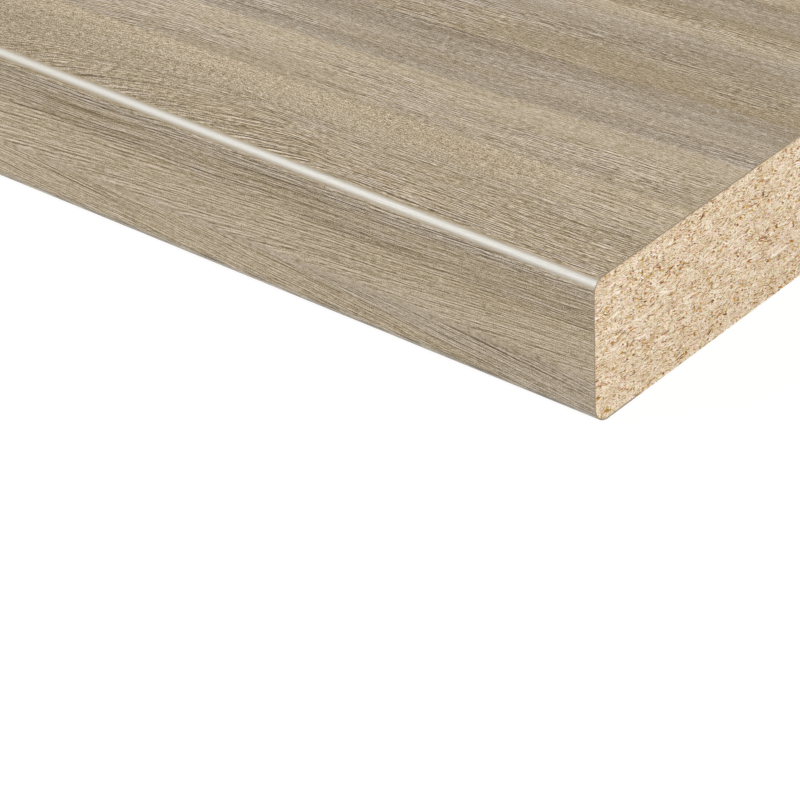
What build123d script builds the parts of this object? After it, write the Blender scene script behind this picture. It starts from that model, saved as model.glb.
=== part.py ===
"""Laminate kitchen worktop: a chipboard core with a decor laminate postformed round its front edge.

The section is drawn in the YZ plane and runs the whole length, with both ends sawn square.
Frame: +X along the length, +Y from the front edge to the back edge, +Z up.
The origin is in the middle of the underside. All sizes are in millimetres.
"""

from build123d import *

import os

# The board
length = 2000.0
depth = 600.0
thickness = 38.0

# The laminate sheet: its outside radii at the front edge, and how far it returns under the board
laminate_thickness = 0.4
top_edge_radius = 3.5
bottom_edge_radius = 5.0
return_width = 17.0

# Places across the section
front_y = -depth / 2
back_y = depth / 2
return_end_y = front_y + return_width


def sheet_line(inset):
    """A line of the sheet's section, inset from its outside: over the top, down the front and under."""
    return FilletPolyline(
        (back_y, thickness - inset),
        (front_y + inset, thickness - inset),
        (front_y + inset, inset),
        (return_end_y, inset),
        radius=(top_edge_radius - inset, bottom_edge_radius - inset),
    )


# Decor laminate: one sheet from the back edge to the end of its return under the front
with BuildPart() as decor_laminate:
    with BuildSketch(Plane.YZ):
        with BuildLine():
            decor_face = sheet_line(0)
            glued_face = sheet_line(laminate_thickness)
            Line(decor_face @ 0, glued_face @ 0)
            Line(decor_face @ 1, glued_face @ 1)
        make_face()
    extrude(amount=length / 2, both=True)
decor_laminate.part.label = "decor_laminate"

# Chipboard core: it fills the sheet, and a shallow rebate holds the return flush with the underside
with BuildPart() as chipboard_core:
    with BuildSketch(Plane.YZ):
        with BuildLine():
            covered_face = sheet_line(laminate_thickness)
            Polyline(covered_face @ 1, (return_end_y, 0), (back_y, 0), covered_face @ 0)
        make_face()
    extrude(amount=length / 2, both=True)
chipboard_core.part.label = "chipboard_core"

os.makedirs("parts", exist_ok=True)
export_step(decor_laminate.part, "parts/decor_laminate.step")
export_step(chipboard_core.part, "parts/chipboard_core.step")
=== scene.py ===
"""Laminate kitchen worktop: the sheet with its wood decor, and the chipboard core with its sawn ends.

Everything is in metres in the part's own frame: +X along the length, +Y to the back, +Z up.
The decor is drawn on the laminate as a flat sheet, so that its grain runs over the front edge unbroken.
"""

import math

import bpy
import numpy as np
from mathutils import Matrix, Vector, noise


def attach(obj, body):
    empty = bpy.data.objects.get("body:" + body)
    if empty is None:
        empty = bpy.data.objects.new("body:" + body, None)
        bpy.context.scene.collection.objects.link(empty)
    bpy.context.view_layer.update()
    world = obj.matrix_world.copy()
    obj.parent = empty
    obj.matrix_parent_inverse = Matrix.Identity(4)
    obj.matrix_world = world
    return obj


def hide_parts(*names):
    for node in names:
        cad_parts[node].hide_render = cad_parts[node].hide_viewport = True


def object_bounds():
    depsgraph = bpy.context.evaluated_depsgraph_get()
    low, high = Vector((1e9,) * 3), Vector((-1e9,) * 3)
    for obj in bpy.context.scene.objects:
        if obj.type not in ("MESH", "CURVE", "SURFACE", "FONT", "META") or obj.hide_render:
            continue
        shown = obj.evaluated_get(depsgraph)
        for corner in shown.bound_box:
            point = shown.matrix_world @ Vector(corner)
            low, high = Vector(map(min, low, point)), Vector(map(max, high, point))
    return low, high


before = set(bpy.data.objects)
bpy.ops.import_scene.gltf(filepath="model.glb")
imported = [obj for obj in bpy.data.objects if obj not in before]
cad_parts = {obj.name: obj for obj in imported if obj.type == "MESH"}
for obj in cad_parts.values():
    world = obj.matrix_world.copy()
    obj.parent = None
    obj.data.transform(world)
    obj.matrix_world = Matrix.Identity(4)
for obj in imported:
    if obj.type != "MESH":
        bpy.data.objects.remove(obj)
cad_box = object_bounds()

MM = 0.001

# The board, from the frame
(LEFT_X, FRONT_Y, BOTTOM_Z), (RIGHT_X, BACK_Y, TOP_Z) = cad_box
LENGTH = RIGHT_X - LEFT_X
DEPTH = BACK_Y - FRONT_Y
THICKNESS = TOP_Z - BOTTOM_Z

# The laminate sheet, as in the part's own source
LAMINATE = 0.4 * MM
TOP_RADIUS = 3.5 * MM
BOTTOM_RADIUS = 5.0 * MM
RETURN_WIDTH = 17.0 * MM
ARC_STEPS = 20
SHEET_STEPS = 8
SHEET_SHARP = math.radians(30)

# The sawn ends' relief: a grid over each end, with pits torn out between the chips and shallow saw marks
END_COLUMN_STEP = 1.2 * MM
END_ROWS = 70
REBATE_SLOPE = 0.02 * MM
PIT_DEPTH = 0.45 * MM
PIT_START = 0.15
PIT_SIZE = (2.4 * MM, 0.9 * MM)
SAW_DEPTH = 0.08 * MM
SAW_SIZE = (1.3 * MM, 0.7 * MM)
SAW_SEED = 5.5
LEFT_SEED = 3.5
RIGHT_SEED = 8.5
CORE_SHARP = math.radians(50)

# Where the surfaces lie on their flat maps: the height of the decor face, and then the bottom and height
# of the strip for the sheet's other faces and of the strips for the core's six sides
DECOR_MAP = 0.94
EDGE_MAP = (0.96, 0.03)
CORE_MAP = ((0.00, 0.22), (0.23, 0.22), (0.46, 0.34), (0.81, 0.08), (0.90, 0.05), (0.96, 0.03))

# The decor, in millimetres on the flat sheet from the front edge: plus over the top, minus down the front.
# Each band has its start, its tone at the start and end on a scale of 0 to 255, and its warmth there.
BANDS = (
    (-60.0, 168, 164, 0.80, 0.80),
    (-36.0, 160, 158, 0.45, 0.45),
    (-25.0, 166, 161, 0.70, 0.85),
    (-12.6, 149, 156, 0.60, 0.60),
    (0.0, 145, 143, 0.95, 0.75),
    (20.0, 145, 163, 0.65, 1.00),
    (36.5, 143, 164, 0.60, 0.75),
    (58.5, 147, 136, 0.10, 0.20),
    (64.0, 141, 152, 0.40, 0.25),
    (70.0, 141, 131, 0.15, 0.20),
    (79.5, 134, 139, 0.80, 0.60),
    (92.0, 129, 154, 0.50, 0.20),
    (102.5, 154, 158, 0.30, 1.00),
    (110.0, 137, 139, 0.95, 0.40),
    (118.5, 143, 128, 0.30, 0.30),
    (126.5, 136, 152, 0.80, 0.90),
    (134.0, 0, 0, 0.0, 0.0),
)
BAND_SPAN = BANDS[-1][0] - BANDS[0][0]
BAND_EDGE = 0.4
FRAY = 0.5
FRAY_SIZE = (30.0, 0.9)
FAR_ZONE = (134.0, 190.0)
FAR_SIZE = (600.0, 11.0)
FAR_TONE = 0.35

# How the bands and lines run: a slow drift and sway, arches behind the front edge, and a heart line in front
BAND_DRIFT = 0.09
LOWER_DRIFT = 0.11
DRIFT_LENGTH = 250.0
DRIFT_ZONE = (-10.0, 40.0)
WANDER = 40.0
WANDER_SIZE = (420.0, 260.0)
WANDER_ZONE = (-230.0, -500.0)
SWAY = 3.0
SWAY_SIZE = (140.0, 40.0)
RIPPLE = 1.2
RIPPLE_SIZE = (34.0, 9.0)
ARCH = 20.0
ARCH_LEAN = 2.2
ARCH_PLACE = -140.0
ARCH_LENGTH = 66.0
ARCH_SWING = (0.85, -0.85)
ARCH_START = (-1.2, 1.2)
ARCH_STOP = (30.0, 70.0)
ARCH_ZONE = (-50.0, -80.0)
HEART_LINE = -25.0
HEART_BEND = 0.5
HEART_SWAY = 0.4
HEART_EDGE = (0.6, -0.6)
FAN = 0.085
FAN_START = 10.0

# The decor's fine marks: length and width in millimetres, and then weights on the top, in its flames,
# in its dots and on the front
GRAIN = (
    (0.30, 0.28, 0.58, 0.48, 0.86, 0.50),
    (0.50, 0.40, 0.10, 0.15, 0.58, 0.16),
    (1.5, 0.28, 0.72, 0.44, 0.66, 0.35),
    (4.5, 0.28, 0.92, 0.40, 0.36, 0.41),
    (12.0, 0.28, 0.86, 0.15, 0.20, 0.43),
    (40.0, 0.30, 0.72, 0.11, 0.14, 0.40),
)
GRAIN_SEED = 21
LONG_MARK = 3.0
SHORT_MARK = 1.0
MARK_SHIFT = 0.25
MARK_COPY = 0.5
STREAK_SIZE = (110.0, 2.2)
STREAK_TOP = 0.22
STREAK_FRONT = 0.10

# Where the fine marks change, as places where each zone fades in or out
FRONT_ZONE = (4.0, -6.0)
FLAME_SIZE = (70.0, 14.0)
FLAME_ZONE = (30.0, 44.0)
FLAME_LEAST = -0.05
FLAME_MOST = 0.12
FLAME_EDGE = (-0.02, 0.14)
DOTS_ARCH = (0.5, 6.0)
DOTS_ARCH_SHARE = 0.75
DOTS_START = (19.0, 26.0)
DOTS_STOP = (38.0, 36.0)
DOTS_ZONE = (-15.0, -60.0)
APART_ZONE = (0.2, 1.2)
APART_LEAST = 0.15

# Dark lines and pores: length and width in millimetres, how they are grouped, and their tones
LINE_SIZE = (60.0, 0.28)
LINE_EDGE = (0.05, 0.25)
LINE_GROUP_SIZE = (160.0, 11.0)
LINE_GROUP_EDGE = (-0.12, 0.2)
LINE_TOP = -0.15
LINE_FRONT = -0.27
PLAIN_START = (HEART_LINE - 1.0, HEART_LINE + 1.0)
PLAIN_STOP = (-11.5, -13.5)
PLAIN_SHARE = 0.65
PORE_SIZE = (2.4, 0.26)
PORE_EDGE = (0.1, 0.25)
PORE_GROUP_SIZE = (60.0, 9.0)
PORE_GROUP_EDGE = (-0.1, 0.15)
PORE_TONE = -0.14

# The print over the edges: a painted highlight in the top bend (marks faint, greyer), greyer and darker
# beside it, and bolder and painted paler round the lower edge against its shade
BEND_ZONE = (2.2, 0.9)
# Painted highlight: how far the marks fade over the top bend, and how much greyer the print is there
BEND_GLARE_FADE = 0.9
BEND_GLARE_WARMTH = -0.1
BESIDE_ZONE = (6.0, 2.5)
# Painted round the highlight: how much darker and greyer the print is beside the bend
BESIDE_GLARE_TONE = -0.018
BESIDE_GLARE_WARMTH = -0.35
UNDER_ZONE = (-31.0, -35.0)
UNDER_SIZE = (9.0, 0.8)
UNDER_MARKS = 0.9
UNDER_BOLD = 0.6
# Painted light: how much paler and warmer the print is round the lower edge, against the shade there
UNDER_PAINTED_LIGHT = 0.035
UNDER_PAINTED_WARMTH = 0.35

# The decor's colours: how a tone becomes a level on the screen, and how far red is over that level
# and green and blue are under it
TONE_LOW = 30.0
TONE_RANGE = 220.0
TONE_KNEE = 0.72
TONE_HELD = 0.45
TONE_STEPS = 10
MIDDLE_LEVEL = 150.0
PALE_RED = 0.05
PALE_BLUE = 0.17
LEAST_BLUE = 2.0
TAN = (9.0, 10.5, 43.0)
GREY = (5.0, 9.5, 29.0)
WARMTH_SIZE = (40.0, 3.0)
WARMTH_RANGE = 0.6

# The decor's gloss and relief
DECOR_ROUGHNESS = 0.39
STRAND_SIZE = (26.0, 0.7)
STRAND_ROUGHNESS = 0.06
PORE_ROUGHNESS = 0.03
PORE_DEPTH = 0.004 * MM
PORE_BUMP = 0.4

# The sheet's cut edge, with colours on a scale of 0 to 255
EDGE_COLOURS = ((0.2, (122, 106, 86)), (0.8, (166, 146, 118)))
EDGE_SPECKLE = 0.8 * MM
EDGE_ROUGHNESS = 0.6

# The chipboard's chips: width and height in millimetres, and weights
COARSE_START = (2.0, 8.0)
COARSE_STOP = (37.0, 33.0)
TILT_SIZE = (6.0, 3.5)
TILT = 3.0 * MM
LEAN = 0.12
WORM_SIZE = (0.7, 0.6)
WORM = 0.3 * MM
BIG_CHIP = (3.0, 0.9)
BIG_CHIP_SKIN = 0.06
BIG_CHIP_COARSE = 0.14
SMALL_CHIP = (1.1, 0.5)
SMALL_CHIP_TONE = 0.30
MOTTLE_SIZE = (7.0, 4.0)
MOTTLE_TONE = 0.2
FIBRE_SIZE = (0.45, 0.22)
FIBRE_TONE = 1.7
SLIVER_SIZE = (9.0, 0.6)
SLIVER_EDGE = (0.12, 0.17)
SLIVER_SHARE = 0.7
GAP_EDGE = (0.08, 0.11)
GAP_SHARE = 0.3
CLUSTER_SIZE = (3.5, 2.2)
CLUSTER = 0.2
SHORT_SPECK = (1.1, 0.26)
SHORT_SPECK_EDGE = (0.05, 0.11)
LONG_SPECK = (3.0, 0.28)
LONG_SPECK_EDGE = (0.10, 0.16)
SPECK_OFF_SLIVER = 0.8
BROWN_SIZE = (1.6, 0.8)
# Painted shade in the torn spots of the sawn ends: the depths in millimetres where it starts and stops, and
# its share
PIT_SHADE_START = (0.08, 0.2)
PIT_SHADE_STOP = (0.6, 0.5)
PIT_SHADE_SHARE = 0.35
HUE_SIZE = (0.6, 0.35)
HUE_RANGE = 1.8

# The chipboard's colours on a scale of 0 to 255, with places on their ramps
GROUND_COLOURS = (
    (0.0, (184, 159, 124)),
    (0.35, (219, 202, 169)),
    (0.65, (238, 226, 202)),
    (1.0, (254, 248, 235)),
)
BROWN_COLOURS = ((0.3, (112, 65, 16)), (0.5, (169, 117, 37)), (0.7, (194, 155, 68)))
HUE_COLOURS = ((0.2, (255, 241, 253)), (0.8, (249, 255, 245)))
GAP_COLOUR = (176, 128, 78)
SLIVER_COLOUR = (252, 242, 227)
# The colour of the painted shade in the torn spots
PIT_SHADE_COLOUR = (244, 222, 184)

# The chipboard's gloss and relief
CHIP_ROUGHNESS = 0.85
SPECK_ROUGHNESS = 0.1
SLIVER_ROUGHNESS = -0.1
SPECK_RELIEF = -0.8
SLIVER_RELIEF = 0.3
CHIP_DEPTH = 0.2 * MM
CHIP_BUMP = 0.3
CHIP_SPECULAR = 0.25

# The light: the lamps face a spot on the front edge near the corner, and the glint is seen only in gloss
WORLD_LIGHT = 0.30
WORLD_COLOUR = (1.0, 0.985, 0.96, 1.0)
LAMP_AIM = 0.1
KEY_SIDE = (-0.5372, -0.527, 0.658)
KEY_DISTANCE = 6.0
KEY_SIZE = (1.0, 3.4)
KEY_POWER = 338.0
KEY_COLOUR = (0.94, 0.975, 1.0)
GLINT_SIZE = (1.0, 5.2)
GLINT_POWER = 372.0
GLINT_COLOUR = (0.53, 0.79, 1.0)
SIDE_SIDE = (0.93, -0.15, 0.33)
SIDE_DISTANCE = 4.0
SIDE_SIZE = (2.0, 2.0)
SIDE_POWER = 120.0
SIDE_COLOUR = (1.0, 1.0, 1.0)

# The floor
FLOOR_SIZE = 80.0
FLOOR_GAP = 0.0005
FLOOR_PAPER = 0.45
FLOOR_SHADED = 0.09
FLOOR_GLOW = 0.945

# The camera, fitted to the board's edges in the photo
CAMERA_AZIMUTH = math.radians(40.023)
CAMERA_ELEVATION = math.radians(33.336)
CAMERA_ROLL = math.radians(-2.099)
CAMERA_LENS = 214.83
CAMERA_SENSOR = 36.0
CAMERA_REACH = 200.0
CAMERA_FROM_CORNER = Vector((0.53215, -0.70033, 0.58715))


def arc(centre, radius, start, stop):
    """Points of an arc in the YZ plane, between two angles in degrees from +Y towards +Z."""
    turns = np.radians(np.linspace(start, stop, ARC_STEPS + 1))
    return [(centre[0] + radius * math.cos(a), centre[1] + radius * math.sin(a)) for a in turns]


def sheet_line(inset):
    """The sheet's section as points (y, z): from the back over the top, down the front and under."""
    top = (FRONT_Y + TOP_RADIUS, TOP_Z - TOP_RADIUS)
    bottom = (FRONT_Y + BOTTOM_RADIUS, BOTTOM_Z + BOTTOM_RADIUS)
    line = [(BACK_Y, TOP_Z - inset)]
    line += arc(top, TOP_RADIUS - inset, 90, 180)
    line += arc(bottom, BOTTOM_RADIUS - inset, 180, 270)
    line += [(FRONT_Y + RETURN_WIDTH, BOTTOM_Z + inset)]
    return np.array(line)


def run_of(line):
    """The distance along a line of points, from its first point."""
    steps = np.hypot(*np.diff(line, axis=0).T)
    return np.concatenate([[0.0], np.cumsum(steps)])


def new_piece(name, points, faces, materials, slots):
    """A mesh piece with a material for each face."""
    mesh = bpy.data.meshes.new(name)
    mesh.from_pydata([tuple(p) for p in points], [], faces)
    for material in materials:
        mesh.materials.append(material)
    mesh.polygons.foreach_set("material_index", slots)
    piece = bpy.data.objects.new(name, mesh)
    bpy.context.scene.collection.objects.link(piece)
    return piece


class Shader:
    """One material's nodes, with short calls for the few kinds that it uses."""

    def __init__(self, name):
        self.material = bpy.data.materials.new(name)
        self.material.use_nodes = True
        self.nodes = self.material.node_tree.nodes
        self.links = self.material.node_tree.links
        self.nodes.clear()
        self.output = self.nodes.new("ShaderNodeOutputMaterial")

    def put(self, socket, value):
        """A socket takes a link, or a plain value."""
        if isinstance(value, bpy.types.NodeSocket):
            self.links.new(value, socket)
        else:
            socket.default_value = value

    def math(self, operation, a, b=0.0, c=0.0):
        """One sum of up to three numbers."""
        node = self.nodes.new("ShaderNodeMath")
        node.operation = operation
        for socket, value in zip(node.inputs, (a, b, c)):
            self.put(socket, value)
        return node.outputs[0]

    def add(self, *values):
        """All the values added up."""
        total = values[0]
        for value in values[1:]:
            total = self.math("ADD", total, value)
        return total

    def times(self, *values):
        """All the values multiplied."""
        total = values[0]
        for value in values[1:]:
            total = self.math("MULTIPLY", total, value)
        return total

    def step(self, value, low, high, to_low=0.0, to_high=1.0, curve="SMOOTHSTEP"):
        """A smooth step from to_low at low to to_high at high."""
        node = self.nodes.new("ShaderNodeMapRange")
        node.interpolation_type = curve
        self.put(node.inputs["Value"], value)
        for name, number in (("From Min", low), ("From Max", high), ("To Min", to_low), ("To Max", to_high)):
            self.put(node.inputs[name], number)
        return node.outputs["Result"]

    def slope(self, value, low, high, to_low=0.0, to_high=1.0):
        """A straight slope from to_low at low to to_high at high, and level beyond."""
        return self.step(value, low, high, to_low, to_high, "LINEAR")

    def about(self, value, outer, inner):
        """One within inner of zero on either side, falling to nothing at outer."""
        return self.times(self.step(value, outer, inner), self.step(value, -outer, -inner))

    def mixed(self, share, a, b):
        """A number between a and b."""
        node = self.nodes.new("ShaderNodeMix")
        for socket, value in zip(node.inputs, (share, None, a, b)):
            if value is not None:
                self.put(socket, value)
        return node.outputs[0]

    def vector(self, x, y, z=0.0):
        """A vector from its three parts."""
        node = self.nodes.new("ShaderNodeCombineXYZ")
        for socket, value in zip(node.inputs, (x, y, z)):
            self.put(socket, value)
        return node.outputs[0]

    def parts(self, vector):
        """The three parts of a vector or colour."""
        node = self.nodes.new("ShaderNodeSeparateXYZ")
        self.put(node.inputs[0], vector)
        return node.outputs

    def noise(self, vector, detail=2.0, roughness=0.5):
        """Smooth noise about zero, mostly within a half each way."""
        node = self.nodes.new("ShaderNodeTexNoise")
        self.put(node.inputs["Vector"], vector)
        node.inputs["Scale"].default_value = 1.0
        node.inputs["Detail"].default_value = detail
        node.inputs["Roughness"].default_value = roughness
        return self.math("SUBTRACT", node.outputs["Fac"], 0.5)

    def mix(self, share, a, b, blend="MIX"):
        """A colour between a and b, or a with b blended in."""
        node = self.nodes.new("ShaderNodeMix")
        node.data_type = "RGBA"
        node.blend_type = blend
        node.clamp_factor = True
        self.put(node.inputs["Factor"], share)
        self.put(node.inputs[6], a)
        self.put(node.inputs[7], b)
        return node.outputs[2]

    def ramp(self, value, stops):
        """A colour ramp through stops of (place, colour)."""
        node = self.nodes.new("ShaderNodeValToRGB")
        marks = node.color_ramp.elements
        while len(marks) < len(stops):
            marks.new(0.5)
        for mark, (place, colour) in zip(marks, stops):
            mark.position = place
            mark.color = colour
        self.put(node.inputs["Fac"], value)
        return node.outputs["Color"]

    def bump(self, height, distance, strength):
        """A normal from a height in the material."""
        node = self.nodes.new("ShaderNodeBump")
        node.inputs["Strength"].default_value = strength
        node.inputs["Distance"].default_value = distance
        self.put(node.inputs["Height"], height)
        return node.outputs["Normal"]

    def surface(self, colour, roughness, normal=None, specular=0.5):
        """The finished material."""
        node = self.nodes.new("ShaderNodeBsdfPrincipled")
        self.put(node.inputs["Base Color"], colour)
        self.put(node.inputs["Roughness"], roughness)
        node.inputs["IOR"].default_value = 1.5
        node.inputs["Specular IOR Level"].default_value = specular
        if normal is not None:
            self.put(node.inputs["Normal"], normal)
        self.links.new(node.outputs[0], self.output.inputs["Surface"])
        return self.material


def srgb(red, green, blue):
    """A colour given as 0 to 255 on the screen, as the linear colour that a shader takes."""
    def linear(level):
        share = level / 255
        return share / 12.92 if share <= 0.04045 else ((share + 0.055) / 1.055) ** 2.4
    return (linear(red), linear(green), linear(blue), 1.0)


def screen_stops(colours):
    """Stops of a ramp, from places and screen colours."""
    return [(place, srgb(*colour)) for place, colour in colours]


def drawn(m, along, level, length, width, seed, detail=0.0):
    """Noise drawn out along the board: marks of about this length and width in millimetres."""
    return m.noise(m.vector(m.times(along, 1 / length), m.times(level, 1 / width), seed), detail, 0.55)


def crisp(m, along, level, length, width, seed):
    """Drawn-out marks less part of a copy shifted across, which leaves a pale mark beside every dark one."""
    copy = drawn(m, along, m.add(level, MARK_SHIFT), length, width, seed)
    return m.math("MULTIPLY_ADD", copy, -MARK_COPY, drawn(m, along, level, length, width, seed))


def grain_lines(m, along, across):
    """Readings of the place across the sheet.

    They are level for the bands, flow for short marks, rings for long lines, and above the heart line.
    """
    wave = m.times(m.math("SINE", m.times(along, 1 / DRIFT_LENGTH)), DRIFT_LENGTH)
    drift = m.times(wave, m.slope(across, *DRIFT_ZONE, 0.0, BAND_DRIFT))
    wander = drawn(m, along, across, *WANDER_SIZE, seed=73.0, detail=1.0)
    wander = m.times(wander, m.step(along, *WANDER_ZONE))
    drift = m.add(drift, m.times(wander, m.slope(across, *DRIFT_ZONE, 0.0, WANDER)))
    sway = m.times(drawn(m, along, across, *SWAY_SIZE, seed=0.5, detail=2.0), SWAY)
    level = m.add(m.math("SUBTRACT", across, drift), sway)

    # Arches behind the front edge, where the lines come up from the edge and level out
    place = m.add(along, m.times(across, ARCH_LEAN), -ARCH_PLACE)
    swing = m.math("SINE", m.times(place, 1 / ARCH_LENGTH))
    fade = m.times(m.slope(across, *ARCH_START), m.slope(across, *ARCH_STOP, 1.0, 0.0))
    fade = m.times(fade, m.step(along, *ARCH_ZONE))
    flow = m.add(level, m.times(m.slope(swing, *ARCH_SWING), fade, ARCH))

    # On the front the lines fan out from the heart line and bend round at it
    fan = m.times(wave, m.slope(across, FAN_START, HEART_LINE, 0.0, -FAN))
    above = m.add(across, m.times(sway, HEART_SWAY), -HEART_LINE)
    folded = m.math("SQRT", m.math("MULTIPLY_ADD", above, above, HEART_BEND ** 2))
    ripple = m.times(drawn(m, along, across, *RIPPLE_SIZE, seed=4.0, detail=1.0), RIPPLE)
    rings = m.add(flow, fan, m.math("SUBTRACT", folded, above), ripple)
    lower = m.add(across, m.times(wave, LOWER_DRIFT), sway)
    return m.mixed(m.step(above, *HEART_EDGE), level, lower), flow, rings, above


def band_tones(m, along, across, level, rings):
    """The bands' tone and warmth, with edges broken up by strands, and with slow changes of tone far back."""
    frayed = m.add(level, m.times(drawn(m, along, rings, *FRAY_SIZE, seed=9.0, detail=1.0), FRAY))
    folded = m.math("PINGPONG", m.add(frayed, -BANDS[0][0]), BAND_SPAN)
    stops = []
    for band, following in zip(BANDS, BANDS[1:]):
        first = (band[0] - BANDS[0][0]) / BAND_SPAN
        last = (following[0] - BAND_EDGE - BANDS[0][0]) / BAND_SPAN
        stops.append((first, (band[1] / 255, band[3], 0.0, 1.0)))
        stops.append((last, (band[2] / 255, band[4], 0.0, 1.0)))
    tone, warmth, _ = m.parts(m.ramp(m.times(folded, 1 / BAND_SPAN), stops))
    tone = m.math("MULTIPLY_ADD", tone, 255 / TONE_RANGE, -TONE_LOW / TONE_RANGE)
    far = m.times(m.step(across, *FAR_ZONE), FAR_TONE)
    slow = drawn(m, along, level, *FAR_SIZE, seed=71.0, detail=2.0)
    return m.math("MULTIPLY_ADD", slow, far, tone), warmth


def fine_marks(m, along, across, level, flow, rings, front, apart):
    """Marks from specks to long lines: flames of short specks and dots on the top, longer lines in front."""
    rise = m.slope(across, *FLAME_ZONE, FLAME_LEAST, FLAME_MOST)
    flames = m.add(drawn(m, along, rings, *FLAME_SIZE, seed=61.0, detail=1.0), rise)
    flame = m.step(flames, *FLAME_EDGE)
    arched = m.step(m.math("SUBTRACT", flow, level), *DOTS_ARCH, 0.0, DOTS_ARCH_SHARE)
    dotted = m.times(m.step(flow, *DOTS_START), m.step(along, *DOTS_ZONE))
    dots = m.times(m.math("MAXIMUM", dotted, arched), m.step(level, *DOTS_STOP))
    streaks = drawn(m, along, rings, *STREAK_SIZE, seed=31.0, detail=2.0)
    marks = m.times(streaks, m.mixed(front, STREAK_TOP, STREAK_FRONT))
    for seed, (length, width, on_top, on_flame, on_dots, on_front) in enumerate(GRAIN, GRAIN_SEED):
        behind = m.mixed(dots, m.mixed(flame, on_top, on_flame), on_dots)
        weight = m.mixed(front, behind, on_front)
        if length > LONG_MARK:
            mark = m.times(crisp(m, along, rings, length, width, seed), apart)
        else:
            mark = drawn(m, along, flow if length > SHORT_MARK else level, length, width, seed)
        marks = m.math("MULTIPLY_ADD", mark, weight, marks)
    return marks


def dark_marks(m, along, across, rings, front, apart):
    """Thin dark lines in groups, fewer over the heart line, and pores in groups of their own."""
    groups = m.step(drawn(m, along, rings, *LINE_GROUP_SIZE, seed=37.0, detail=1.0), *LINE_GROUP_EDGE)
    plain = m.times(m.step(across, *PLAIN_START), m.step(across, *PLAIN_STOP))
    groups = m.mixed(front, groups, m.math("MULTIPLY_ADD", plain, -PLAIN_SHARE, 1.0))
    lines = m.times(m.step(drawn(m, along, rings, *LINE_SIZE, seed=41.0), *LINE_EDGE), groups, apart)
    pore_groups = m.step(drawn(m, along, rings, *PORE_GROUP_SIZE, seed=47.0, detail=1.0), *PORE_GROUP_EDGE)
    pores = m.times(m.step(drawn(m, along, rings, *PORE_SIZE, seed=43.0), *PORE_EDGE), pore_groups)
    return lines, pores


def shade(tone):
    """A tone from 0 to 1 as a level on the screen, with the brightest marks held back."""
    return TONE_LOW + TONE_RANGE * (min(tone, TONE_KNEE) + TONE_HELD * max(tone - TONE_KNEE, 0.0))


def tint(level, red, green, blue):
    """A screen colour about a level: red over it, green and blue under it, with more blue in pale tones."""
    pale = level - MIDDLE_LEVEL
    blue_level = max(level - blue + PALE_BLUE * pale, LEAST_BLUE)
    return srgb(level + red - PALE_RED * pale, level - green, blue_level)


def tone_colours(m, tone, warm):
    """The decor's colour: grey or tan of this tone."""
    places = [i / TONE_STEPS for i in range(TONE_STEPS + 1)]
    tan = m.ramp(tone, [(place, tint(shade(place), *TAN)) for place in places])
    grey = m.ramp(tone, [(place, tint(shade(place), *GREY)) for place in places])
    return m.mix(warm, grey, tan)


def wood_decor():
    """The printed wood: bands of tan and grey, lines that meet along a heart line, fibres and pores."""
    m = Shader("wood_decor")
    sheet = m.nodes.new("ShaderNodeAttribute")
    sheet.attribute_name = "sheet_mm"
    along, across, _ = m.parts(sheet.outputs["Vector"])
    level, flow, rings, above = grain_lines(m, along, across)
    tone, warmth = band_tones(m, along, across, level, rings)

    # The marks, with few of the long ones on the heart line itself
    front = m.step(across, *FRONT_ZONE)
    apart = m.step(m.math("ABSOLUTE", above), *APART_ZONE, APART_LEAST, 1.0)
    marks = fine_marks(m, along, across, level, flow, rings, front, apart)
    lines, pores = dark_marks(m, along, across, rings, front, apart)
    marks = m.add(marks, m.times(lines, m.mixed(front, LINE_TOP, LINE_FRONT)), m.times(pores, PORE_TONE))

    # Round the lower edge the marks are broader, and the print is painted a little paler and warmer against
    # the shade there
    under = m.step(across, *UNDER_ZONE)
    broad = drawn(m, along, rings, *UNDER_SIZE, seed=83.0)
    marks = m.math("MULTIPLY_ADD", broad, m.times(under, UNDER_MARKS), marks)

    # Painted highlight: the marks are faint and the print is greyer over the top bend, and the print is
    # greyer and darker beside the bend
    bend = m.about(across, *BEND_ZONE)
    beside = m.about(across, *BESIDE_ZONE)
    faint = m.add(m.math("MULTIPLY_ADD", bend, -BEND_GLARE_FADE, 1.0), m.times(under, UNDER_BOLD))
    tone = m.math("MULTIPLY_ADD", marks, faint, tone)
    tone = m.add(tone, m.times(under, UNDER_PAINTED_LIGHT), m.times(beside, BESIDE_GLARE_TONE))
    warm = m.add(
        warmth,
        m.times(drawn(m, along, rings, *WARMTH_SIZE, seed=53.0, detail=2.0), WARMTH_RANGE),
        m.times(bend, BEND_GLARE_WARMTH),
        m.times(under, UNDER_PAINTED_WARMTH),
        m.times(beside, BESIDE_GLARE_WARMTH),
    )

    strands = drawn(m, along, rings, *STRAND_SIZE, seed=67.0, detail=1.0)
    strands = m.times(strands, m.math("SUBTRACT", 1.0, bend))
    roughness = m.add(DECOR_ROUGHNESS, m.times(strands, STRAND_ROUGHNESS), m.times(pores, PORE_ROUGHNESS))
    normal = m.bump(m.times(m.math("MAXIMUM", lines, pores), faint), -PORE_DEPTH, PORE_BUMP)
    return m.surface(tone_colours(m, tone, warm), roughness, normal)


def laminate_edge():
    """The sheet's cut edge: brown paper and resin under the thin printed face."""
    m = Shader("laminate_edge")
    x, y, z = m.parts(m.nodes.new("ShaderNodeTexCoord").outputs["Object"])
    fine = 1 / EDGE_SPECKLE
    speckle = m.noise(m.vector(m.times(x, fine), m.times(y, fine), m.times(z, fine)), 2.0)
    colour = m.ramp(m.add(0.5, speckle), screen_stops(EDGE_COLOURS))
    return m.surface(colour, EDGE_ROUGHNESS)


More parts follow.
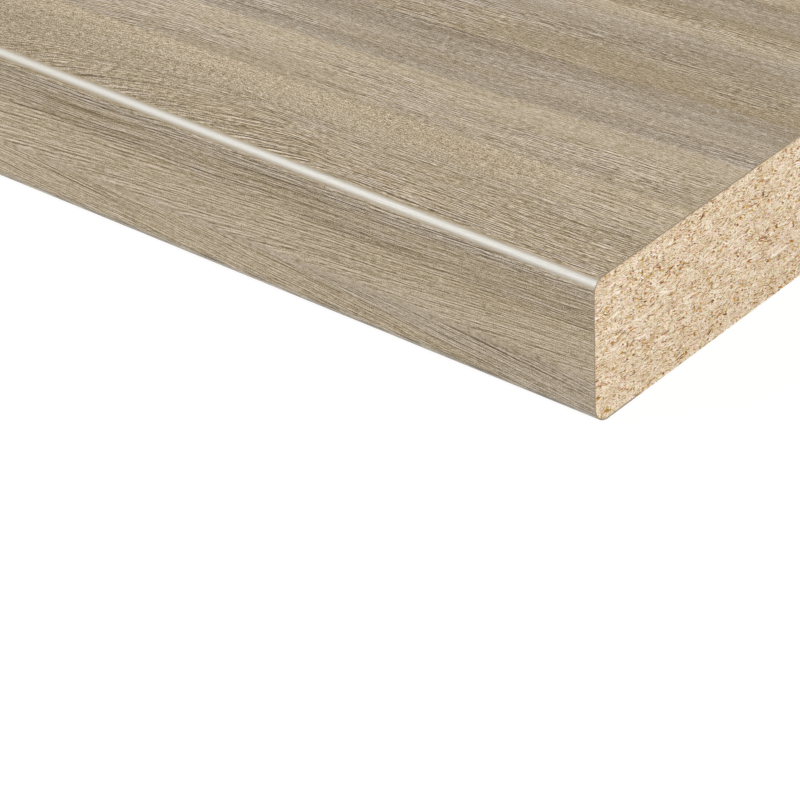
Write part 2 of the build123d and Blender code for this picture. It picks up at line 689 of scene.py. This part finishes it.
def chip_tone(m, solid, level, wormy, coarse):
    """The ground's tone: chips of two sizes, a slow mottle and fine fibres."""
    def chips(size, seed):
        """A random tone for each chip."""
        node = m.nodes.new("ShaderNodeTexVoronoi")
        node.inputs["Scale"].default_value = 1.0
        m.put(node.inputs["Vector"], solid(size, seed, level))
        return m.math("SUBTRACT", m.parts(node.outputs["Color"])[0], 0.5)

    return m.add(
        0.5,
        m.times(chips(BIG_CHIP, 0.0), m.add(m.times(coarse, BIG_CHIP_COARSE), BIG_CHIP_SKIN)),
        m.times(chips(SMALL_CHIP, 31.0), SMALL_CHIP_TONE),
        m.times(m.noise(solid(MOTTLE_SIZE, 11.0), 1.0), MOTTLE_TONE),
        m.times(m.noise(solid(FIBRE_SIZE, 13.0, wormy), 1.0), FIBRE_TONE),
    )


def chip_slivers(m, solid, level, coarse, ground):
    """Where the cream slivers are, and the ground with them and with dark gaps round them."""
    shape = m.times(m.noise(solid(SLIVER_SIZE, 83.0, level), 1.0), coarse)
    sliver = m.step(shape, *SLIVER_EDGE)
    gap = m.times(m.step(shape, *GAP_EDGE), m.math("SUBTRACT", 1.0, sliver))
    ground = m.mix(m.times(gap, GAP_SHARE), ground, srgb(*GAP_COLOUR))
    return sliver, m.mix(m.times(sliver, SLIVER_SHARE), ground, srgb(*SLIVER_COLOUR))


def chip_specks(m, solid, wormy, sliver):
    """Where the brown specks are, in clusters and mostly off the slivers, and their colour."""
    clusters = m.times(m.noise(solid(CLUSTER_SIZE, 71.0), 1.0), CLUSTER)
    short = m.step(m.add(m.noise(solid(SHORT_SPECK, 41.0, wormy)), clusters), *SHORT_SPECK_EDGE)
    long = m.step(m.add(m.noise(solid(LONG_SPECK, 43.0, wormy)), clusters), *LONG_SPECK_EDGE)
    clear = m.math("MULTIPLY_ADD", sliver, -SPECK_OFF_SLIVER, 1.0)
    specks = m.times(m.math("MAXIMUM", short, long), clear)
    sort = m.add(0.5, m.noise(solid(BROWN_SIZE, 59.0), 0.0))
    return specks, m.ramp(sort, screen_stops(BROWN_COLOURS))


def chipboard():
    """Pressed wood chips that lie nearly level: a pale mottled ground, brown specks and cream slivers."""
    m = Shader("chipboard")
    x, y, z = m.parts(m.nodes.new("ShaderNodeTexCoord").outputs["Object"])

    def solid(size, seed=0.0, level=z):
        """A place in the board, counted in chips of this width and height in millimetres."""
        wide = 1 / (size[0] * MM)
        tall = 1 / (size[1] * MM)
        return m.vector(m.times(x, wide), m.add(m.times(y, wide), seed), m.times(level, tall))

    height = m.times(z, 1 / MM)
    coarse = m.times(m.step(height, *COARSE_START), m.step(height, *COARSE_STOP))
    tilt = m.times(m.noise(solid(TILT_SIZE), 1.0), TILT)
    level = m.add(z, m.times(y, LEAN), tilt)
    wormy = m.add(level, m.times(m.noise(solid(WORM_SIZE, 5.0), 1.0), WORM))

    tone = chip_tone(m, solid, level, wormy, coarse)
    ground = m.ramp(tone, screen_stops(GROUND_COLOURS))
    sliver, ground = chip_slivers(m, solid, level, coarse, ground)
    specks, brown = chip_specks(m, solid, wormy, sliver)
    colour = m.mix(specks, ground, brown)

    # Painted shade: the spots torn into the sawn ends are darker and warmer
    depth = m.math("SUBTRACT", RIGHT_X / MM, m.times(m.math("ABSOLUTE", x), 1 / MM))
    torn = m.times(m.step(depth, *PIT_SHADE_START), m.step(depth, *PIT_SHADE_STOP))
    colour = m.mix(m.times(torn, PIT_SHADE_SHARE), colour, srgb(*PIT_SHADE_COLOUR), "MULTIPLY")

    # Some wood is pinker and some yellower
    sort = m.add(0.5, m.times(m.noise(solid(HUE_SIZE, 91.0, level), 1.0), HUE_RANGE))
    colour = m.mix(1.0, colour, m.ramp(sort, screen_stops(HUE_COLOURS)), "MULTIPLY")

    relief = m.add(tone, m.times(specks, SPECK_RELIEF), m.times(sliver, SLIVER_RELIEF))
    normal = m.bump(relief, CHIP_DEPTH, CHIP_BUMP)
    roughness = m.add(CHIP_ROUGHNESS, m.times(specks, SPECK_ROUGHNESS), m.times(sliver, SLIVER_ROUGHNESS))
    return m.surface(colour, roughness, normal, CHIP_SPECULAR)


def laminate_sheet(face, edge):
    """The sheet as a thin closed solid, with its place on the flat sheet kept at every corner."""
    outer = sheet_line(0.0)
    inner = sheet_line(LAMINATE)
    xs = np.linspace(LEFT_X, RIGHT_X, SHEET_STEPS + 1)
    count = len(outer)
    around = 2 * count
    ring = np.concatenate([outer, inner[::-1]])
    points = [(x, y, z) for x in xs for y, z in ring]
    faces = []
    slots = []
    for i in range(SHEET_STEPS):
        for j in range(around):
            k = (j + 1) % around
            faces.append((i * around + j, i * around + k, (i + 1) * around + k, (i + 1) * around + j))
            slots.append(0 if j < count - 1 else 1)
    for i, flip in ((0, False), (SHEET_STEPS, True)):
        for j in range(count - 1):
            quad = (j, around - 1 - j, around - 2 - j, j + 1)
            quad = tuple(i * around + n for n in quad)
            faces.append(quad[::-1] if flip else quad)
            slots.append(1)
    piece = new_piece("laminate_sheet", points, faces, [face, edge], slots)

    # The place on the flat sheet, from the right end and from the middle of the top bend
    front = DEPTH - TOP_RADIUS + TOP_RADIUS * math.pi / 4
    place = front - run_of(outer)
    values = [((x - RIGHT_X) / MM, t / MM, 0.0) for x in xs for t in np.concatenate([place, place[::-1]])]
    sheet = piece.data.attributes.new("sheet_mm", "FLOAT_VECTOR", "POINT")
    sheet.data.foreach_set("vector", np.array(values).ravel())
    lay_sheet_map(piece, around, count)
    piece.data.shade_smooth()
    piece.data.set_sharp_from_angle(angle=SHEET_SHARP)
    return piece


def lay_sheet_map(piece, around, count):
    """The decor face laid out flat over most of the map, and the other faces in a narrow strip."""
    mesh = piece.data
    flat = np.empty((len(mesh.loops), 2))
    ring_place = np.linspace(0.0, DECOR_MAP, count)
    bottom, height = EDGE_MAP
    for face in mesh.polygons:
        hidden = face.material_index == 1
        for corner in face.loop_indices:
            vertex = mesh.loops[corner].vertex_index
            place = vertex % around
            v = bottom + height * place / around if hidden else ring_place[place]
            flat[corner] = ((mesh.vertices[vertex].co.x - LEFT_X) / LENGTH, v)
    lay_map(piece, flat)


def core_reach(y):
    """How low and how high the core reaches at a place across its section."""
    inside = max(y - FRONT_Y - LAMINATE, 0.0)
    top_radius = TOP_RADIUS - LAMINATE
    bottom_radius = BOTTOM_RADIUS - LAMINATE
    short_top = max(top_radius - inside, 0.0)
    short_bottom = max(bottom_radius - inside, 0.0)
    high = TOP_Z - LAMINATE - top_radius + math.sqrt(top_radius ** 2 - short_top ** 2)
    low = BOTTOM_Z + bottom_radius - math.sqrt(bottom_radius ** 2 - short_bottom ** 2)
    if y < FRONT_Y + RETURN_WIDTH + REBATE_SLOPE / 2:
        low += LAMINATE
    return low, high


def core_columns():
    """Places across the core: close together round the front edge, then in even steps to the back."""
    front = FRONT_Y + LAMINATE
    radius = BOTTOM_RADIUS - LAMINATE
    turns = np.linspace(0.0, math.pi / 2, ARC_STEPS + 1)
    rounded = [front + radius * (1 - math.cos(a)) for a in turns]
    rebate = FRONT_Y + RETURN_WIDTH
    covered = np.linspace(rounded[-1], rebate, math.ceil((rebate - rounded[-1]) / END_COLUMN_STEP) + 1)
    bare_start = rebate + REBATE_SLOPE
    bare = np.linspace(bare_start, BACK_Y, math.ceil((BACK_Y - bare_start) / END_COLUMN_STEP) + 1)
    return rounded[:-1] + list(covered) + list(bare)


def pit(y, z, seed):
    """How far the sawn end is torn in at a place on it."""
    torn = noise.noise((y / PIT_SIZE[0], z / PIT_SIZE[1], seed))
    sawn = noise.noise((y / SAW_SIZE[0], z / SAW_SIZE[1], seed + SAW_SEED))
    return PIT_DEPTH * max(torn - PIT_START, 0.0) + SAW_DEPTH * (0.5 + 0.5 * sawn)


def core_board(material):
    """The core: a closed solid with a finely torn surface on both sawn ends."""
    columns = core_columns()
    count = len(columns)
    rise = END_ROWS + 1
    points = []
    for x, inward, seed in ((LEFT_X, 1.0, LEFT_SEED), (RIGHT_X, -1.0, RIGHT_SEED)):
        for j, y in enumerate(columns):
            low, high = core_reach(y)
            for i in range(rise):
                z = low + (high - low) * i / END_ROWS
                inner = 0 < j < count - 1 and 0 < i < END_ROWS
                points.append((x + inward * pit(y, z, seed) if inner else x, y, z))
    other = count * rise
    quads = [(j * rise + i, (j + 1) * rise + i) for j in range(count - 1) for i in range(END_ROWS)]
    left = [(a, a + 1, b + 1, b) for a, b in quads]
    right = [(a + other, b + other, b + other + 1, a + other + 1) for a, b in quads]
    under = [j * rise for j in range(count)]
    back = [(count - 1) * rise + i for i in range(rise)]
    over = [j * rise + END_ROWS for j in reversed(range(count))]
    front = list(reversed(range(rise)))
    walls = []
    for side in (under, back, over, front):
        walls.append([(a, b, b + other, a + other) for a, b in zip(side, side[1:])])
    faces = left + right + sum(walls, [])
    piece = new_piece("core_board", points, faces, [material], [0] * len(faces))
    lay_core_map(piece, [len(side) for side in (left, right, *walls)])
    piece.data.shade_smooth()
    piece.data.set_sharp_from_angle(angle=CORE_SHARP)
    return piece


def lay_map(piece, corners):
    """Lays the piece's surface out flat, from the place (u, v) of each corner of each face."""
    layer = piece.data.uv_layers.new(name="OFBake")
    layer.data.foreach_set("uv", np.asarray(corners).ravel())


def lay_core_map(piece, counts):
    """Both ends in tall strips, the underside and back in wide ones, and the covered sides in the rest."""
    mesh = piece.data
    places = np.empty(len(mesh.vertices) * 3)
    mesh.vertices.foreach_get("co", places)
    corner = np.empty(len(mesh.loops), dtype=int)
    mesh.loops.foreach_get("vertex_index", corner)
    places = places.reshape(-1, 3)[corner]
    along = (places[:, 0] - LEFT_X) / LENGTH
    across = (places[:, 1] - FRONT_Y) / DEPTH
    up = (places[:, 2] - BOTTOM_Z) / THICKNESS
    readings = ((across, up), (across, up), (along, across), (along, up), (along, across), (along, up))
    flat = np.empty((len(corner), 2))
    start = 0
    for (u, v), (bottom, height), faces in zip(readings, CORE_MAP, counts):
        stop = start + 4 * faces
        flat[start:stop, 0] = u[start:stop]
        flat[start:stop, 1] = bottom + height * v[start:stop]
        start = stop
    lay_map(piece, flat)


def aim(obj, place, target):
    """Puts a lamp at a place, facing a target."""
    obj.location = place
    back = (Vector(place) - Vector(target)).normalized()
    up = Vector((1.0, 0.0, 0.0)).cross(back).normalized()
    side = up.cross(back)
    obj.rotation_euler = Matrix((side, up, back)).transposed().to_euler()


def lamp(name, direction, distance, size, power, colour, target):
    """A soft lamp of this width and height that the camera doesn't see."""
    data = bpy.data.lights.new(name, "AREA")
    data.shape = "RECTANGLE"
    data.size = size[0]
    data.size_y = size[1]
    data.energy = power
    data.color = colour
    obj = bpy.data.objects.new(name, data)
    bpy.context.scene.collection.objects.link(obj)
    aim(obj, Vector(target) + Vector(direction).normalized() * distance, target)
    obj.visible_camera = False
    return obj


def lamps():
    """The key lamp, the glint along the front edge, and a lamp for the sawn end."""
    target = Vector((RIGHT_X - LAMP_AIM, FRONT_Y, TOP_Z))
    lamp("key", KEY_SIDE, KEY_DISTANCE, KEY_SIZE, KEY_POWER, KEY_COLOUR, target)
    glint = lamp("glint", KEY_SIDE, KEY_DISTANCE, GLINT_SIZE, GLINT_POWER, GLINT_COLOUR, target)
    glint.visible_diffuse = False
    lamp("side", SIDE_SIDE, SIDE_DISTANCE, SIDE_SIZE, SIDE_POWER, SIDE_COLOUR, target)


def seen_rays(nodes, links):
    """Whether a ray is seen: by the camera, in a reflection or through glass."""
    path = nodes.new("ShaderNodeLightPath")
    total = path.outputs["Is Camera Ray"]
    for name in ("Is Glossy Ray", "Is Transmission Ray"):
        either = nodes.new("ShaderNodeMath")
        either.operation = "MAXIMUM"
        links.new(total, either.inputs[0])
        links.new(path.outputs[name], either.inputs[1])
        total = either.outputs[0]
    return total


def white_world():
    """A world that lights the board softly and is seen as white."""
    world = bpy.data.worlds.new("studio")
    bpy.context.scene.world = world
    world.use_nodes = True
    nodes = world.node_tree.nodes
    links = world.node_tree.links
    nodes.clear()
    light = nodes.new("ShaderNodeBackground")
    light.inputs["Strength"].default_value = WORLD_LIGHT
    light.inputs["Color"].default_value = WORLD_COLOUR
    seen = nodes.new("ShaderNodeBackground")
    seen.inputs["Color"].default_value = (1.0, 1.0, 1.0, 1.0)
    choose = nodes.new("ShaderNodeMixShader")
    output = nodes.new("ShaderNodeOutputWorld")
    links.new(seen_rays(nodes, links), choose.inputs[0])
    links.new(light.outputs[0], choose.inputs[1])
    links.new(seen.outputs[0], choose.inputs[2])
    links.new(choose.outputs[0], output.inputs[0])


def white_floor():
    """A wide white floor that keeps the board's shadow."""
    half = FLOOR_SIZE / 2
    corners = ((-half, -half), (half, -half), (half, half), (-half, half))
    mesh = bpy.data.meshes.new("floor")
    mesh.from_pydata([(x, y, -FLOOR_GAP) for x, y in corners], [], [(0, 1, 2, 3)])
    floor = bpy.data.objects.new("floor", mesh)
    bpy.context.scene.collection.objects.link(floor)
    mesh.materials.append(floor_paper())


def floor_paper():
    """White paper, which the camera sees as white with only a faint shadow."""
    material = bpy.data.materials.new("floor_white")
    material.use_nodes = True
    nodes = material.node_tree.nodes
    links = material.node_tree.links
    nodes.clear()
    paper = nodes.new("ShaderNodeBsdfDiffuse")
    paper.inputs["Color"].default_value = (FLOOR_PAPER, FLOOR_PAPER, FLOOR_PAPER, 1.0)
    shaded = nodes.new("ShaderNodeBsdfDiffuse")
    shaded.inputs["Color"].default_value = (FLOOR_SHADED, FLOOR_SHADED, FLOOR_SHADED, 1.0)
    glow = nodes.new("ShaderNodeEmission")
    glow.inputs["Strength"].default_value = FLOOR_GLOW
    both = nodes.new("ShaderNodeAddShader")
    choose = nodes.new("ShaderNodeMixShader")
    output = nodes.new("ShaderNodeOutputMaterial")
    links.new(shaded.outputs[0], both.inputs[0])
    links.new(glow.outputs[0], both.inputs[1])
    links.new(seen_rays(nodes, links), choose.inputs[0])
    links.new(paper.outputs[0], choose.inputs[1])
    links.new(both.outputs[0], choose.inputs[2])
    links.new(choose.outputs[0], output.inputs[0])
    return material


def camera():
    """The camera at the photo's viewing angle, placed from the board's lower front corner."""
    data = bpy.data.cameras.new("camera")
    data.sensor_width = CAMERA_SENSOR
    data.lens = CAMERA_LENS
    data.clip_end = CAMERA_REACH
    obj = bpy.data.objects.new("camera", data)
    bpy.context.scene.collection.objects.link(obj)
    corner = Vector((RIGHT_X, FRONT_Y, BOTTOM_Z))
    place = Matrix.Translation(corner + CAMERA_FROM_CORNER)
    turn = Matrix.Rotation(CAMERA_AZIMUTH, 4, "Z") @ Matrix.Rotation(math.pi / 2 - CAMERA_ELEVATION, 4, "X")
    obj.matrix_world = place @ turn @ Matrix.Rotation(CAMERA_ROLL, 4, "Z")
    bpy.context.scene.camera = obj


sheet_piece = laminate_sheet(wood_decor(), laminate_edge())
core_piece = core_board(chipboard())
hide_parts("decor_laminate")
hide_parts("chipboard_core")
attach(sheet_piece, "root")
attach(core_piece, "root")

lamps()
white_world()
white_floor()
camera()
bpy.context.scene.view_settings.view_transform = "Standard"
